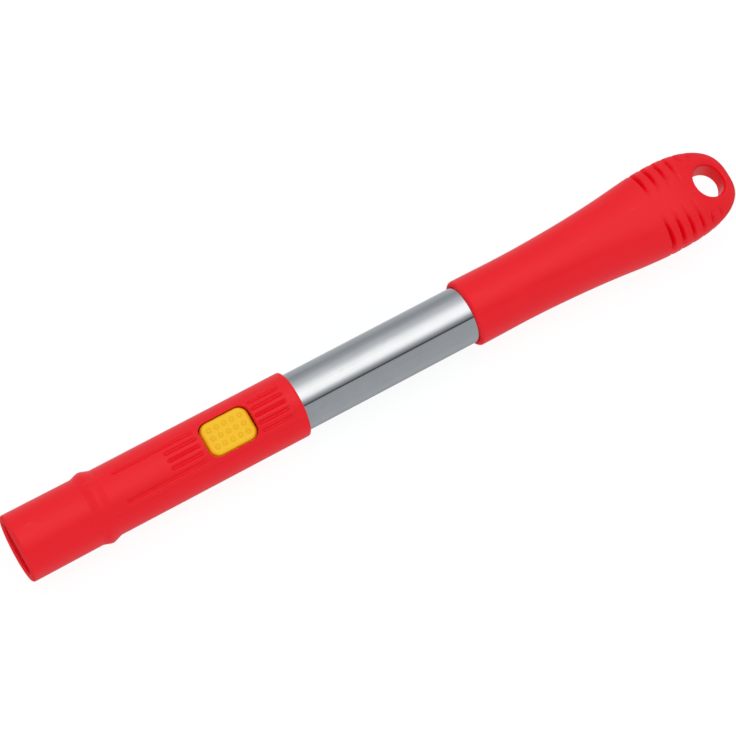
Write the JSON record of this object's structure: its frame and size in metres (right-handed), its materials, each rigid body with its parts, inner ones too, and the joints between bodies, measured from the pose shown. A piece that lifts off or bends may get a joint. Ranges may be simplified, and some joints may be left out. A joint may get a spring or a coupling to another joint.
{
  "type": "quick-release tool handle",
  "caption": "Short handle for interchangeable hand tools: D-shaped push-button socket, metal tube, and a grip with a flattened hanging end.",
  "frame": {"origin": "centre of the shank socket's mouth, on the handle's axis", "axes": "+X along the handle from the socket's mouth to the hanging end, +Z out of the push button, +Y across"},
  "size_m": [0.3898, 0.0434, 0.036],
  "materials": {
    "red_plastic": "semi-gloss moulded",
    "yellow_plastic": "semi-gloss moulded",
    "black_plastic": "matt moulded",
    "aluminium": "polished and clear anodised",
    "steel": "bright drawn",
    "rivet_alloy": "satin"
  },
  "bodies": {
    "handle": {"socket_body": "red_plastic", "latch_carrier": "black_plastic", "latch_pin": "steel", "return_spring": "steel", "handle_tube": "aluminium", "tube_end_plug": "black_plastic", "hand_grip": "red_plastic", "socket_rivet": "rivet_alloy", "grip_rivet": "rivet_alloy"},
    "latch": {"latch_lever": "black_plastic", "release_button": "yellow_plastic"}
  },
  "joints": [
    {"name": "button_rock", "type": "hinge", "parent": "handle", "child": "latch", "pos_m": [0.084, 0, 0.00921], "axis": [0, 1, 0], "range_deg": [0, 7], "stiffness_Nm_per_rad": 0.8, "springref_deg": -6.88, "deforming": ["return_spring"]}
  ]
}
